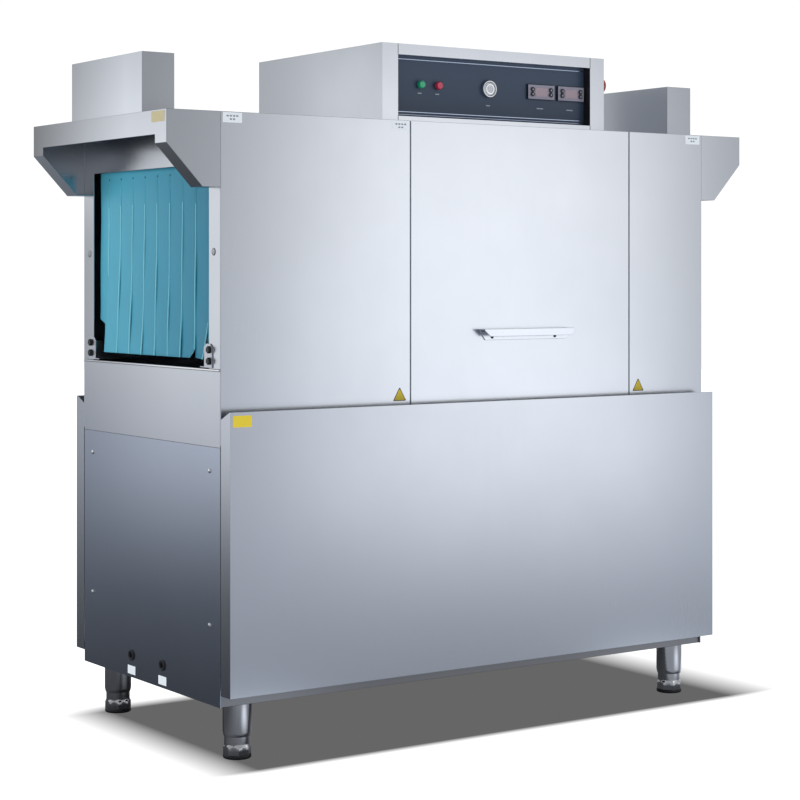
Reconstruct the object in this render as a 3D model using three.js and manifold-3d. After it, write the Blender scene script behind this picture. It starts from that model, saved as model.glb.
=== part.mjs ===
// A rack-conveyor dishwasher: a stainless tunnel that racks are pushed through, between two strip curtains.
// Millimetres. Racks travel along +X, from the entry end (-X) to the exit end (+X).
// The front, with the door and the controls, faces -Y. Z is up, and the origin is on the floor under the
// middle of the cabinet.

import * as THREE from 'three';
import { mergeVertices } from 'three/addons/utils/BufferGeometryUtils.js';
import Module from 'manifold-3d';

const wasm = await Module();
wasm.setup();

// ---------------------------------------------------------------- driving dimensions

const HALF_LENGTH = 702; // cabinet without its hoods
const HALF_DEPTH = 338;
const TOP = 1419;
const SHEET = 2.5; // stainless sheet
const GAP = 0.3; // between pieces that touch
const SEAM = 3; // open seam beside the door

const BASE = 123; // underside of the cabinet
const DECK = 690; // underside of the tank deck, and the seam between the lower and middle end panels
const WORK_HEIGHT = 858; // foot of the tunnel opening
const OPENING = { halfWidth: 285, top: 1307 };
const CABLE_HOLES = { y: [84.5, -68.5], z: 175, radius: 9 }; // in the entry end

const APRON = { proud: 41.5, bottom: 150, top: 767, slant: 18 };
const HOOD = { reach: 133, foot: 1254, outerFoot: 1347, ledge: 45, flange: 52, fascia: 53 };
const VENT = { inset: 24.5, length: 81, halfWidth: 178, top: 1557 };
const DOOR = { left: -200, right: 458, bottom: 745, thickness: 4 };
const HANDLE = { length: 271, bottom: 909, top: 935.5, lip: 17.5, proud: 24, slant: 18, corner: 8 };
const LEG = { x: 634, y: 290.5, radius: 32, shoulder: 9.5, bottom: 49, wall: 3 };
const SILL = { setBack: 8, width: 40, wall: 3 };
const FOOT = { radius: 28.5, flare: 30, pad: 31.5, padHeight: 9, neck: 24, top: 108 };

const BOX = { left: -208, right: 468, setBack: 107, top: 1610, face: 25 };
const WINDOW = { stile: 45, topRail: 26, bottomRail: 19.7 };
const CONTROLS_HEIGHT = 1517.5;

const RAIL = { web: 272, ledge: 22, foot: 860, top: 905 };
const BRACKET = { inner: 268.5, outer: 303, top: 913, chamfer: 8 };
const BOLT = { y: 293, heights: [875, 900], radius: 6.5, head: 4.5 };
const CURTAIN = { x: 686, thickness: 3, halfWidth: 276, bottom: 877, pivot: 1314, rod: 5 };
const TANK = { halfLength: 480, halfDepth: 268, bottom: 420 };
const PAWL_BAR = { start: -640, finish: 560, bottom: 802, top: 826, halfWidth: 20, guides: [-530, 500] };

const HALF_TURN = Math.PI;
const QUARTER_TURN = Math.PI / 2;

// ---------------------------------------------------------------- materials

const finish = (color, roughness, metalness) => () =>
  new THREE.MeshStandardMaterial({ color, roughness, metalness });

const steel = finish(0xc4cbd6, 0.35, 1);
const brightSteel = finish(0xd6dbe2, 0.2, 1);
const darkSteel = finish(0x555b66, 0.45, 1);
const panelBlue = finish(0x435064, 0.5, 0.2);
const greenPlastic = finish(0x1f8a4a, 0.35, 0);
const redPlastic = finish(0xc02622, 0.35, 0);
const whitePlastic = finish(0xd8dde0, 0.3, 0);
const blackPlastic = finish(0x17181b, 0.45, 0);
const curtainVinyl = finish(0x4a9bb7, 0.35, 0);
const paintedCasting = finish(0x3f4c5c, 0.6, 0.3);

// ---------------------------------------------------------------- solids

const group = new THREE.Group();

function addPart(name, geometry, material) {
  const mesh = new THREE.Mesh(geometry, material());
  mesh.name = name;
  group.add(mesh);
  return mesh;
}

function solidOf(geometry) {
  const bare = geometry.clone();
  bare.deleteAttribute('normal');
  bare.deleteAttribute('uv');
  const merged = mergeVertices(bare, 1e-4);
  return new wasm.Manifold(
    new wasm.Mesh({
      numProp: 3,
      vertProperties: new Float32Array(merged.attributes.position.array),
      triVerts: new Uint32Array(merged.index.array),
    }),
  );
}

function geometryOf(solid) {
  const mesh = solid.getMesh();
  const geometry = new THREE.BufferGeometry();
  geometry.setAttribute('position', new THREE.BufferAttribute(mesh.vertProperties, 3));
  geometry.setIndex(new THREE.BufferAttribute(mesh.triVerts, 1));
  geometry.computeVertexNormals();
  return geometry;
}

function join(...pieces) {
  return geometryOf(pieces.map(solidOf).reduce((whole, piece) => whole.add(piece)));
}

function cut(body, ...tools) {
  return geometryOf(tools.map(solidOf).reduce((whole, tool) => whole.subtract(tool), solidOf(body)));
}

function common(first, second) {
  return geometryOf(solidOf(first).intersect(solidOf(second)));
}

function box([x0, x1], [y0, y1], [z0, z1]) {
  const geometry = new THREE.BoxGeometry(x1 - x0, y1 - y0, z1 - z0);
  return geometry.translate((x0 + x1) / 2, (y0 + y1) / 2, (z0 + z1) / 2);
}

function outline(points) {
  return new THREE.Shape(points.map(([u, v]) => new THREE.Vector2(u, v)));
}

function extrude(shape, length) {
  return new THREE.ExtrudeGeometry(shape, { depth: length, bevelEnabled: false, curveSegments: 6 });
}

// A plan outline in X and Y, standing from z0 to z1.
function upright(shape, z0, z1) {
  return extrude(shape, z1 - z0).translate(0, 0, z0);
}

// A side outline in X and Z, running from y0 to y1.
function across(shape, y0, y1) {
  return extrude(shape, y1 - y0).rotateX(QUARTER_TURN).translate(0, y1, 0);
}

// An end outline in Y and Z, running from x0 to x1.
function lengthwise(shape, x0, x1) {
  const turn = new THREE.Matrix4().makeBasis(
    new THREE.Vector3(0, 1, 0),
    new THREE.Vector3(0, 0, 1),
    new THREE.Vector3(1, 0, 0),
  );
  return extrude(shape, x1 - x0).applyMatrix4(turn).translate(x0, 0, 0);
}

// A turned piece: [radius, height] pairs from one point on the axis to another, with the axis along Z.
function turned(profile, sides) {
  const points = profile.map(([radius, height]) => new THREE.Vector2(radius, height));
  return new THREE.LatheGeometry(points, sides).rotateX(QUARTER_TURN);
}

function rod(radius, length, sides) {
  return turned([[0, 0], [radius, 0], [radius, length], [0, length]], sides);
}

const alongX = (geometry) => geometry.rotateY(QUARTER_TURN);
const alongMinusY = (geometry) => geometry.rotateX(QUARTER_TURN);
const alongY = (geometry) => geometry.rotateX(-QUARTER_TURN);

// Both ends, with the sign of their X and the words used in their names.
const ends = [
  { side: -1, name: 'entry' },
  { side: 1, name: 'exit' },
];
const faces = [
  { side: -1, name: 'front' },
  { side: 1, name: 'rear' },
];

// The span between two distances from the middle, on one side of it.
const span = (side, near, far) => (side > 0 ? [near, far] : [-far, -near]);

// ---------------------------------------------------------------- legs, feet and base

function legs() {
  const bore = LEG.radius - LEG.wall;
  const top = BASE - GAP;
  const legProfile = [
    [0, top - LEG.wall],
    [bore, top - LEG.wall],
    [bore, LEG.bottom],
    [FOOT.flare, LEG.bottom],
    [LEG.radius, LEG.bottom + LEG.shoulder],
    [LEG.radius, top],
    [0, top],
  ];
  const footProfile = [
    [0, 0],
    [FOOT.pad, 0],
    [FOOT.pad, FOOT.padHeight],
    [FOOT.flare, FOOT.padHeight],
    [FOOT.flare, FOOT.neck],
    [FOOT.radius, FOOT.neck + 2],
    [FOOT.radius, FOOT.top],
    [0, FOOT.top],
  ];
  for (const end of ends) {
    for (const face of faces) {
      const place = [end.side * LEG.x, face.side * LEG.y, 0];
      addPart(`leg_${end.name}_${face.name}`, turned(legProfile, 28), steel).position.set(...place);
      addPart(`foot_${end.name}_${face.name}`, turned(footProfile, 24), brightSteel).position.set(...place);
    }
  }
}

function baseSills() {
  const { setBack, width, wall } = SILL;
  const reach = HALF_LENGTH - SHEET - GAP;
  for (const face of faces) {
    const y = span(face.side, HALF_DEPTH - setBack - width, HALF_DEPTH - setBack);
    const hollow = [y[0] + wall, y[1] - wall];
    const sill = box([-reach, reach], y, [BASE, BASE + width]);
    const inside = box([-reach - 1, reach + 1], hollow, [BASE + wall, BASE + width - wall]);
    addPart(`base_sill_${face.name}`, cut(sill, inside), steel);
  }
}

// ---------------------------------------------------------------- end faces

const plateSpan = (side) => span(side, HALF_LENGTH - SHEET, HALF_LENGTH);
const betweenFaces = HALF_DEPTH - SHEET - GAP;

function endFaces() {
  const grommetHoles = CABLE_HOLES.y.map((y) =>
    alongX(rod(CABLE_HOLES.radius, 20, 12)).translate(-HALF_LENGTH - 10, y, CABLE_HOLES.z),
  );
  for (const end of ends) {
    const x = plateSpan(end.side);
    const y = [-betweenFaces, betweenFaces];
    const lower = box(x, y, [BASE, DECK - SEAM]);
    const holes = end.side < 0 ? grommetHoles : [];
    addPart(`${end.name}_lower_panel`, holes.length ? cut(lower, ...holes) : lower, steel);
    addPart(`${end.name}_middle_panel`, box(x, y, [DECK - SEAM + GAP, WORK_HEIGHT - GAP]), steel);

    const frame = outline([
      [-betweenFaces, WORK_HEIGHT],
      [-OPENING.halfWidth, WORK_HEIGHT],
      [-OPENING.halfWidth, OPENING.top],
      [OPENING.halfWidth, OPENING.top],
      [OPENING.halfWidth, WORK_HEIGHT],
      [betweenFaces, WORK_HEIGHT],
      [betweenFaces, TOP],
      [-betweenFaces, TOP],
    ]);
    addPart(`${end.name}_frame`, lengthwise(frame, ...x), steel);
  }
}

// ---------------------------------------------------------------- front, rear and roof

// A front panel has a joggled lip along the door side, which runs behind the door's edge and guides it.
function frontPanel(name, cornerX, doorEdge) {
  const side = Math.sign(doorEdge - cornerX);
  const edge = doorEdge - side * SEAM;
  const front = -HALF_DEPTH;
  const lip = front + DOOR.thickness + 0.5;
  const plan = [
    [cornerX, front],
    [edge, front],
    [edge, lip],
    [doorEdge + side * 12, lip],
    [doorEdge + side * 12, lip + SHEET],
    [edge - side * SHEET, lip + SHEET],
    [edge - side * SHEET, front + SHEET],
    [cornerX, front + SHEET],
  ];
  addPart(name, upright(outline(plan), DECK + SHEET + GAP, TOP), steel);
}

function skins() {
  frontPanel('front_left_panel', -HALF_LENGTH, DOOR.left);
  frontPanel('front_right_panel', HALF_LENGTH, DOOR.right);
  const rear = [HALF_DEPTH - SHEET, HALF_DEPTH];
  addPart('rear_panel', box([-HALF_LENGTH, HALF_LENGTH], rear, [DECK + SHEET + GAP, TOP]), steel);
  const reach = HALF_LENGTH - SHEET - GAP;
  const roofFront = -HALF_DEPTH + DOOR.thickness + 0.5 + SHEET + GAP;
  addPart('roof', box([-reach, reach], [roofFront, betweenFaces], [TOP - SHEET, TOP]), steel);
}

// The front view of one wall of the handle: its left end is slanted, and its lower right corner cut off.
function handleView(bottom) {
  const middle = (DOOR.left + DOOR.right) / 2;
  const left = middle - HANDLE.length / 2;
  const right = middle + HANDLE.length / 2;
  return outline([
    [left, HANDLE.top],
    [left + 2, HANDLE.top - 4],
    [left + HANDLE.slant, bottom],
    [right - HANDLE.corner, bottom],
    [right - HANDLE.corner / 4, bottom + HANDLE.corner / 2],
    [right, bottom + HANDLE.corner],
    [right, HANDLE.top],
  ]);
}

// The handle is a folded channel, open below and at its ends: a back plate on the door, a top and a lip.
function door() {
  const face = -HALF_DEPTH;
  const slab = box([DOOR.left, DOOR.right], [face, face + DOOR.thickness], [DOOR.bottom, TOP]);
  addPart('door', slab, steel);

  const back = face - GAP;
  const front = back - HANDLE.proud;
  const backPlate = across(handleView(HANDLE.bottom), back - SHEET, back);
  const channel = across(handleView(HANDLE.top - HANDLE.lip), front, back - SHEET / 2);
  const reach = HANDLE.length;
  const hollow = box([-reach, reach], [front + SHEET, back - SHEET], [HANDLE.bottom - 10, HANDLE.top - SHEET]);
  addPart('door_handle', cut(join(backPlate, channel), hollow), brightSteel);
}

// Each apron is a tray without a top or bottom, standing proud of the cabinet; its side returns slope down
// towards the cabinet.
function aprons() {
  const outer = HALF_DEPTH + APRON.proud;
  for (const face of faces) {
    const at = (distance) => face.side * distance;
    const inner = HALF_DEPTH + GAP;
    const plan = outline([
      [-HALF_LENGTH, at(inner)],
      [-HALF_LENGTH, at(outer)],
      [HALF_LENGTH, at(outer)],
      [HALF_LENGTH, at(inner)],
      [HALF_LENGTH - SHEET, at(inner)],
      [HALF_LENGTH - SHEET, at(outer - SHEET)],
      [-HALF_LENGTH + SHEET, at(outer - SHEET)],
      [-HALF_LENGTH + SHEET, at(inner)],
    ]);
    const wedge = outline([
      [at(outer - SHEET - GAP), APRON.top + 1],
      [at(outer - SHEET - GAP), APRON.top],
      [at(HALF_DEPTH), APRON.top - APRON.slant],
      [at(HALF_DEPTH), APRON.top + 1],
    ]);
    const tray = upright(plan, APRON.bottom, APRON.top);
    const slope = lengthwise(wedge, -HALF_LENGTH - 1, HALF_LENGTH + 1);
    addPart(`apron_${face.name}`, cut(tray, slope), steel);
  }
}

// ---------------------------------------------------------------- hoods and vents

// A sheet hood with a sloping underside, open below and towards the tunnel. Its outer face, slope and foot
// keep a flange along each side.
function hoodProfile(side, inset, inner) {
  const outer = HALF_LENGTH + HOOD.reach - inset;
  const kneeX = HALF_LENGTH + HOOD.ledge;
  const slope = Math.atan2(HOOD.outerFoot - HOOD.foot, HOOD.reach - HOOD.ledge);
  const rise = inset / Math.cos(slope);
  const heightAt = (x) => HOOD.foot + rise + (x - kneeX) * Math.tan(slope);
  const footHeight = HOOD.foot + inset;
  const footX = kneeX + (inset - rise) / Math.tan(slope);
  return outline(
    [
      [inner, footHeight],
      [inner, TOP - inset],
      [outer, TOP - inset],
      [outer, heightAt(outer)],
      [footX, footHeight],
    ].map(([x, z]) => [side * x, z]),
  );
}

function hoods() {
  for (const { side, name } of ends) {
    const near = HALF_LENGTH + GAP;
    const shell = across(hoodProfile(side, 0, near), -HALF_DEPTH, HALF_DEPTH);
    const inside = across(hoodProfile(side, SHEET, near - 5), -HALF_DEPTH + SHEET, HALF_DEPTH - SHEET);
    const mouthHalf = HALF_DEPTH - HOOD.flange;
    const mouth = box(
      span(side, near - 5, HALF_LENGTH + HOOD.reach + 5),
      [-mouthHalf, mouthHalf],
      [HOOD.foot - 5, TOP - HOOD.fascia],
    );
    const ductFar = HALF_LENGTH + HOOD.reach - VENT.inset;
    const duct = span(side, ductFar - VENT.length, ductFar);
    const inner = [duct[0] + 2, duct[1] - 2];
    const innerHalf = VENT.halfWidth - 2;
    const hole = box(inner, [-innerHalf, innerHalf], [TOP - 5, TOP + 5]);
    addPart(`hood_${name}`, cut(shell, inside, mouth, hole), steel);

    const sleeve = box(duct, [-VENT.halfWidth, VENT.halfWidth], [TOP + GAP, VENT.top]);
    const bore = box(inner, [-innerHalf, innerHalf], [TOP - 1, VENT.top + 1]);
    addPart(`vent_${name}`, cut(sleeve, bore), steel);
  }
}

// ---------------------------------------------------------------- control box

const boxFront = -HALF_DEPTH + BOX.setBack;
const panelFront = boxFront + BOX.face + GAP;
const EMERGENCY_STOP = { y: -176, z: 1547, radius: 20, proud: 44, stem: 8 };

const START_X = -83.5;
const STOP_X = -32;
const BUTTON = { radius: 9.7, stem: 5, stand: 3.5, height: 10 };
const POWER = { x: 120.5, ring: 20.5, seat: 17 };
const POWER_BUTTON = { radius: 16.5, stem: 8, stand: 3.2, height: 6 };
const CONTROLLER = { width: 84.5, height: 37, proud: 6, positions: [282, 376.5] };
const KEY = { spread: 29, radius: 5.6, pitch: 12, thickness: 3, stand: 1 };

function controlBox() {
  const shell = box([BOX.left, BOX.right], [boxFront, HALF_DEPTH], [TOP + GAP, BOX.top]);
  const inside = box(
    [BOX.left + SHEET, BOX.right - SHEET],
    [boxFront + BOX.face, HALF_DEPTH - SHEET],
    [TOP - 1, BOX.top - SHEET],
  );
  const pane = box(
    [BOX.left + WINDOW.stile, BOX.right - WINDOW.stile],
    [boxFront - 1, boxFront + BOX.face + 1],
    [TOP + WINDOW.bottomRail, BOX.top - WINDOW.topRail],
  );
  const stopHole = alongX(rod(EMERGENCY_STOP.stem + 1, 20, 16));
  stopHole.translate(BOX.right - 10, EMERGENCY_STOP.y, EMERGENCY_STOP.z);
  addPart('control_box', cut(shell, inside, pane, stopHole), steel);

  const plate = box(
    [BOX.left + 15, BOX.right - 15],
    [panelFront, panelFront + SHEET],
    [TOP + 8, BOX.top - 12],
  );
  const hole = (x, radius) =>
    alongY(rod(radius, 20, 16)).translate(x, panelFront - 10, CONTROLS_HEIGHT);
  const small = BUTTON.stem + 1;
  const holes = [hole(START_X, small), hole(STOP_X, small), hole(POWER.x, POWER_BUTTON.stem + 1)];
  addPart('control_panel', cut(plate, ...holes), panelBlue);
}

// A push button: a domed head in front of the panel, and a stem through its hole.
function pushButton(name, x, { radius, stem, stand, height }, material) {
  const profile = [
    [0, -12],
    [stem, -12],
    [stem, stand],
    [radius, stand],
    [radius, stand + height * 0.7],
    [radius * 0.8, stand + height],
    [0, stand + height],
  ];
  const button = addPart(name, alongMinusY(turned(profile, 20)), material);
  button.position.set(x, panelFront, CONTROLS_HEIGHT);
}

function controls() {
  pushButton('start_button', START_X, BUTTON, greenPlastic);
  pushButton('stop_button', STOP_X, BUTTON, redPlastic);
  pushButton('power_button', POWER.x, POWER_BUTTON, whitePlastic);

  const ring = cut(rod(POWER.ring, 7.5, 28), rod(POWER.seat, 20, 28).translate(0, 0, -5));
  const bezel = addPart('power_bezel', alongMinusY(ring), brightSteel);
  bezel.position.set(POWER.x, panelFront - GAP, CONTROLS_HEIGHT);

  const back = panelFront - GAP;
  CONTROLLER.positions.forEach((x, index) => {
    const half = CONTROLLER.width / 2;
    const tall = CONTROLLER.height / 2;
    const body = box(
      [x - half, x + half],
      [back - CONTROLLER.proud, back],
      [CONTROLS_HEIGHT - tall, CONTROLS_HEIGHT + tall],
    );
    addPart(`controller_${index + 1}`, body, blackPlastic);
    for (const [side, word] of [[-1, 'left'], [1, 'right']]) {
      const key = addPart(`key_${index + 1}_${word}`, rockerKey(), blackPlastic);
      key.position.set(x + side * KEY.spread, back - CONTROLLER.proud - KEY.stand, CONTROLS_HEIGHT);
    }
  });
}

// A rocker key in the shape of a figure of eight, standing along Z, with its back on its hinge line.
function rockerKey() {
  const disc = (height) => alongMinusY(rod(KEY.radius, KEY.thickness, 12)).translate(0, 0, height);
  const half = KEY.pitch / 2;
  const waist = box([-2.2, 2.2], [-KEY.thickness, 0], [-half, half]);
  return join(disc(half), disc(-half), waist);
}

function emergencyStop() {
  const { radius, proud, stem } = EMERGENCY_STOP;
  const profile = [
    [0, -9],
    [stem, -9],
    [stem, proud - 26],
    [radius * 0.8, proud - 24],
    [radius, proud - 14],
    [radius * 0.93, proud - 6],
    [radius * 0.6, proud - 1],
    [0, proud],
  ];
  const button = addPart('e_stop_button', alongX(turned(profile, 24)), redPlastic);
  button.position.set(BOX.right, EMERGENCY_STOP.y, EMERGENCY_STOP.z);
}

// ---------------------------------------------------------------- curtains

// Each curtain hangs from a rod across the tunnel. Its lower corners are cut away round the rack rails.
function curtains() {
  const { halfWidth, bottom, pivot, rod: rodRadius, thickness } = CURTAIN;
  const narrow = BRACKET.inner - 3;
  const shape = outline([
    [-narrow, bottom],
    [narrow, bottom],
    [narrow, BRACKET.top],
    [halfWidth, BRACKET.top + 18],
    [halfWidth, pivot - rodRadius - 1],
    [-halfWidth, pivot - rodRadius - 1],
    [-halfWidth, BRACKET.top + 18],
    [-narrow, BRACKET.top],
  ]);
  const length = 2 * (HALF_DEPTH - SHEET - GAP);
  for (const { side, name } of ends) {
    const x = side * CURTAIN.x;
    addPart(`curtain_${name}`, lengthwise(shape, x - thickness / 2, x + thickness / 2), curtainVinyl);
    const bar = alongY(rod(rodRadius, length, 12)).translate(x, -length / 2, pivot);
    addPart(`curtain_rod_${name}`, bar, brightSteel);
  }
}

// ---------------------------------------------------------------- rack track and drive

// Each rail is an angle that the racks slide on. A bracket at each end bolts it to the tunnel's posts.
function rails() {
  const outside = HALF_LENGTH + GAP;
  for (const face of faces) {
    const at = (distance) => face.side * distance;
    const section = outline([
      [at(RAIL.web + SHEET), RAIL.foot],
      [at(RAIL.web + SHEET), RAIL.top],
      [at(RAIL.web), RAIL.top],
      [at(RAIL.web), RAIL.foot + SHEET],
      [at(RAIL.web - RAIL.ledge), RAIL.foot + SHEET],
      [at(RAIL.web - RAIL.ledge), RAIL.foot],
    ]);
    const bracket = outline([
      [at(BRACKET.inner), RAIL.foot],
      [at(BRACKET.outer), RAIL.foot],
      [at(BRACKET.outer), BRACKET.top - BRACKET.chamfer],
      [at(BRACKET.outer - BRACKET.chamfer), BRACKET.top],
      [at(BRACKET.inner + BRACKET.chamfer), BRACKET.top],
      [at(BRACKET.inner), BRACKET.top - BRACKET.chamfer],
    ]);
    const pieces = [lengthwise(section, -outside - SHEET, outside + SHEET)];
    for (const end of ends) {
      pieces.push(lengthwise(bracket, ...span(end.side, outside, outside + SHEET)));
      for (const height of BOLT.heights) {
        const bolt = alongX(rod(BOLT.radius, BOLT.head + SHEET / 2, 6));
        const x = span(end.side, outside + SHEET / 2, outside + SHEET + BOLT.head)[0];
        pieces.push(bolt.translate(x, at(BOLT.y), height));
      }
    }
    addPart(`rack_rail_${face.name}`, join(...pieces), brightSteel);
  }
}

// The pawl bar slides to and fro under the racks. Its pawls push a rack on one stroke and tip down under it
// on the way back.
const PAWL = { positions: [-330, 150], pivot: PAWL_BAR.top + 12, halfWidth: 11, pin: 4, ear: 4 };

function pawlBar() {
  const { start, finish, halfWidth, bottom, top } = PAWL_BAR;
  const bar = box([start, finish], [-halfWidth, halfWidth], [bottom, top]);
  const ears = [];
  const holes = [];
  for (const x of PAWL.positions) {
    for (const side of [-1, 1]) {
      const y = span(side, PAWL.halfWidth + 1, PAWL.halfWidth + 1 + PAWL.ear);
      ears.push(box([x - 8, x + 8], y, [top - 1, PAWL.pivot + 8]));
    }
    holes.push(alongY(rod(PAWL.pin + 0.2, 40, 12)).translate(x, -20, PAWL.pivot));
  }
  addPart('pawl_bar', cut(join(bar, ...ears), ...holes), brightSteel);

  const side = outline([
    [-30, -6],
    [6, -8],
    [14, 0],
    [18, 28],
    [10, 28],
    [0, 10],
    [-30, 6],
  ]);
  PAWL.positions.forEach((x, index) => {
    const nose = across(side, -PAWL.halfWidth, PAWL.halfWidth);
    const reach = PAWL.halfWidth + PAWL.ear;
    const pin = alongY(rod(PAWL.pin, 2 * reach, 12)).translate(0, -reach, 0);
    addPart(`pawl_${index + 1}`, join(nose, pin), darkSteel).position.set(x, 0, PAWL.pivot);
  });
}

// A gearmotor hangs under the deck and turns a crank above it.
const DRIVE = { x: 585, crank: 50, shaft: 10 };

function drive() {
  const motorTop = DECK - GAP;
  const gearbox = box([DRIVE.x - 60, DRIVE.x + 60], [-60, 60], [motorTop - 90, motorTop]);
  const motor = rod(55, 180, 20).translate(DRIVE.x, 0, motorTop - 90 - 175);
  const seat = rod(DRIVE.shaft + 1, 30, 16).translate(DRIVE.x, 0, motorTop - 25);
  addPart('drive_motor', cut(join(gearbox, motor), seat), paintedCasting);

  const shaft = rod(DRIVE.shaft, 50, 16).translate(DRIVE.x, 0, motorTop - 20);
  const armBase = DECK + SHEET + 8;
  const arm = box([DRIVE.x - 16, DRIVE.x + DRIVE.crank + 14], [-14, 14], [armBase, armBase + 10]);
  const pin = rod(7, 26, 12).translate(DRIVE.x + DRIVE.crank, 0, armBase + 5);
  addPart('drive_crank', join(shaft, arm, pin), darkSteel);
}

// ---------------------------------------------------------------- wash tank and pump

const OVERFLOW = { x: 300, outer: 19, inner: 16, bottom: 400, top: 610 };

// A post and two cheeks, which carry the pawl bar and keep it in line.
function barGuide(x) {
  const along = [x, x + 18];
  const cheek = PAWL_BAR.halfWidth + 0.5;
  const post = box(along, [-cheek - 7, cheek + 7], [DECK + 1, PAWL_BAR.bottom - GAP]);
  const cheeks = [-1, 1].map((side) =>
    box(along, span(side, cheek, cheek + 7), [PAWL_BAR.bottom - 5, PAWL_BAR.bottom + 14]),
  );
  return [post, ...cheeks];
}

function washTank() {
  const { halfLength, halfDepth, bottom } = TANK;
  const top = DECK - GAP;
  const basin = box([-halfLength, halfLength], [-halfDepth, halfDepth], [bottom, top]);
  const inside = box(
    [-halfLength + SHEET, halfLength - SHEET],
    [-halfDepth + SHEET, halfDepth - SHEET],
    [bottom + SHEET, top + 10],
  );
  const drain = rod(OVERFLOW.outer + 0.5, 20, 20).translate(OVERFLOW.x, 0, bottom - 10);
  addPart('wash_tank', cut(basin, inside, drain), steel);

  const height = OVERFLOW.top - OVERFLOW.bottom;
  const bore = rod(OVERFLOW.inner, height + 20, 20).translate(0, 0, -10);
  const pipe = cut(rod(OVERFLOW.outer, height, 20), bore);
  addPart('overflow_pipe', pipe, brightSteel).position.set(OVERFLOW.x, 0, OVERFLOW.bottom);
}

// The deck closes the cabinet round the tank's mouth and carries the pawl bar's guides.
function deck() {
  const reach = HALF_LENGTH - SHEET - GAP;
  const plate = box([-reach, reach], [-betweenFaces, betweenFaces], [DECK, DECK + SHEET]);
  const mouthLength = TANK.halfLength - SHEET;
  const mouthDepth = TANK.halfDepth - SHEET;
  const mouth = box([-mouthLength, mouthLength], [-mouthDepth, mouthDepth], [DECK - 10, DECK + 10]);
  const shaftHole = rod(DRIVE.shaft + 2, 20, 16).translate(DRIVE.x, 0, DECK - 10);
  const guides = PAWL_BAR.guides.flatMap(barGuide);
  addPart('deck', cut(join(plate, ...guides), mouth, shaftHole), steel);
}

function strainer() {
  const foot = DECK + SHEET + GAP;
  const length = TANK.halfLength + 10;
  const depth = TANK.halfDepth + 8;
  const tray = box([-length, length], [-depth, depth], [foot, foot + SHEET]);
  const slots = [];
  for (let row = -1; row <= 1; row += 1) {
    for (let column = 0; column < 7; column += 1) {
      const x = -420 + column * 100;
      slots.push(box([x, x + 12], [row * 180 - 70, row * 180 + 70], [foot - 5, foot + 10]));
    }
  }
  const pipeHole = rod(OVERFLOW.outer + 4, 20, 16).translate(OVERFLOW.x, 0, foot - 10);
  addPart('strainer', cut(tray, ...slots, pipeHole), steel);
}

// The wash pump stands on the front sill: a motor with a casing on its end, and an impeller inside that.
const PUMP = { y: -250, z: 262, motor: 75, casing: 88, chamber: 76, impeller: 70 };

function washPump() {
  const place = (geometry, x) => alongX(geometry).translate(x, PUMP.y, PUMP.z);
  const motor = place(rod(PUMP.motor, 230, 20), -430);
  const casing = place(rod(PUMP.casing, 64, 24), -202);
  const foot = box([-400, -240], [-310, -190], [BASE + 40 + GAP, PUMP.z]);
  const outlet = rod(26, 120, 16).translate(-170, PUMP.y, PUMP.z + 30);
  const chamber = place(rod(PUMP.chamber, 48, 24), -194);
  const eye = place(rod(30, 40, 16), -160);
  const throat = rod(21, 140, 16).translate(-170, PUMP.y, PUMP.z + 20);
  const shaftSeat = place(rod(9, 60, 12), -240);
  const housing = join(motor, casing, foot, outlet);
  addPart('wash_pump', cut(housing, chamber, eye, throat, shaftSeat), paintedCasting);

  const wheel = rod(PUMP.impeller, 8, 20).translate(0, 0, 10);
  const blades = [0, 1, 2].map((turn) =>
    box([-PUMP.impeller + 4, PUMP.impeller - 4], [-3, 3], [12, 34]).rotateZ((turn * HALF_TURN) / 3),
  );
  const hub = rod(16, 30, 16).translate(0, 0, 5);
  const shaft = rod(8, 50, 12).translate(0, 0, -40);
  addPart('pump_impeller', place(join(wheel, hub, shaft, ...blades), -191), brightSteel);
}

// ---------------------------------------------------------------- spray pipes

function pipe(points, radius, bore, steps) {
  const corners = points.map((point) => new THREE.Vector3(...point));
  const path = new THREE.CatmullRomCurve3(corners, false, 'chordal');
  const ring = (r) => {
    const shape = new THREE.Shape();
    shape.absarc(0, 0, r, 0, 2 * Math.PI, false);
    return shape;
  };
  const section = ring(radius);
  section.holes.push(ring(bore));
  return new THREE.ExtrudeGeometry(section, {
    extrudePath: path,
    steps,
    curveSegments: 6,
    bevelEnabled: false,
  });
}

// A riser feeds the lower wash arm on its way up and bends over to the upper one.
const SPRAY = { riserY: 297, radius: 17, bore: 14.5, low: 760, high: 1350, tip: -262 };
const RINSE = { x: 520, radius: 11, bore: 9 };

function sprayPipes() {
  const { riserY, radius, bore, low, high, tip } = SPRAY;
  const foot = DECK + SHEET + GAP;
  const riser = [
    [0, riserY, foot],
    [0, riserY, 1000],
    [0, riserY, high - 80],
    [0, riserY - 12, high - 24],
    [0, riserY - 57, high],
    [0, 0, high],
    [0, tip, high],
  ];
  const upper = pipe(riser, radius, bore, 18);
  const lower = pipe([[0, tip, low], [0, riserY, low]], radius, bore, 1);
  const clearBore = rod(bore, 4 * radius, 12).translate(0, riserY, low - 2 * radius);
  addPart('wash_arms', cut(join(upper, lower), clearBore), brightSteel);
  const rinse = [[RINSE.x, -betweenFaces, high], [RINSE.x, betweenFaces, high]];
  addPart('rinse_arm', pipe(rinse, RINSE.radius, RINSE.bore, 1), brightSteel);
}

// ---------------------------------------------------------------- the machine

legs();
baseSills();
endFaces();
skins();
door();
aprons();
hoods();
controlBox();
controls();
emergencyStop();
curtains();
rails();
pawlBar();
drive();
washTank();
deck();
strainer();
washPump();
sprayPipes();

export default group;
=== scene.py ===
"""The looks of the rack-conveyor dishwasher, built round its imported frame.

Metres, in the frame's own axes: racks travel along +X, the front faces -Y and Z is up. Places come from the
boxes of the frame's nodes, so the details below follow the frame.
"""

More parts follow.
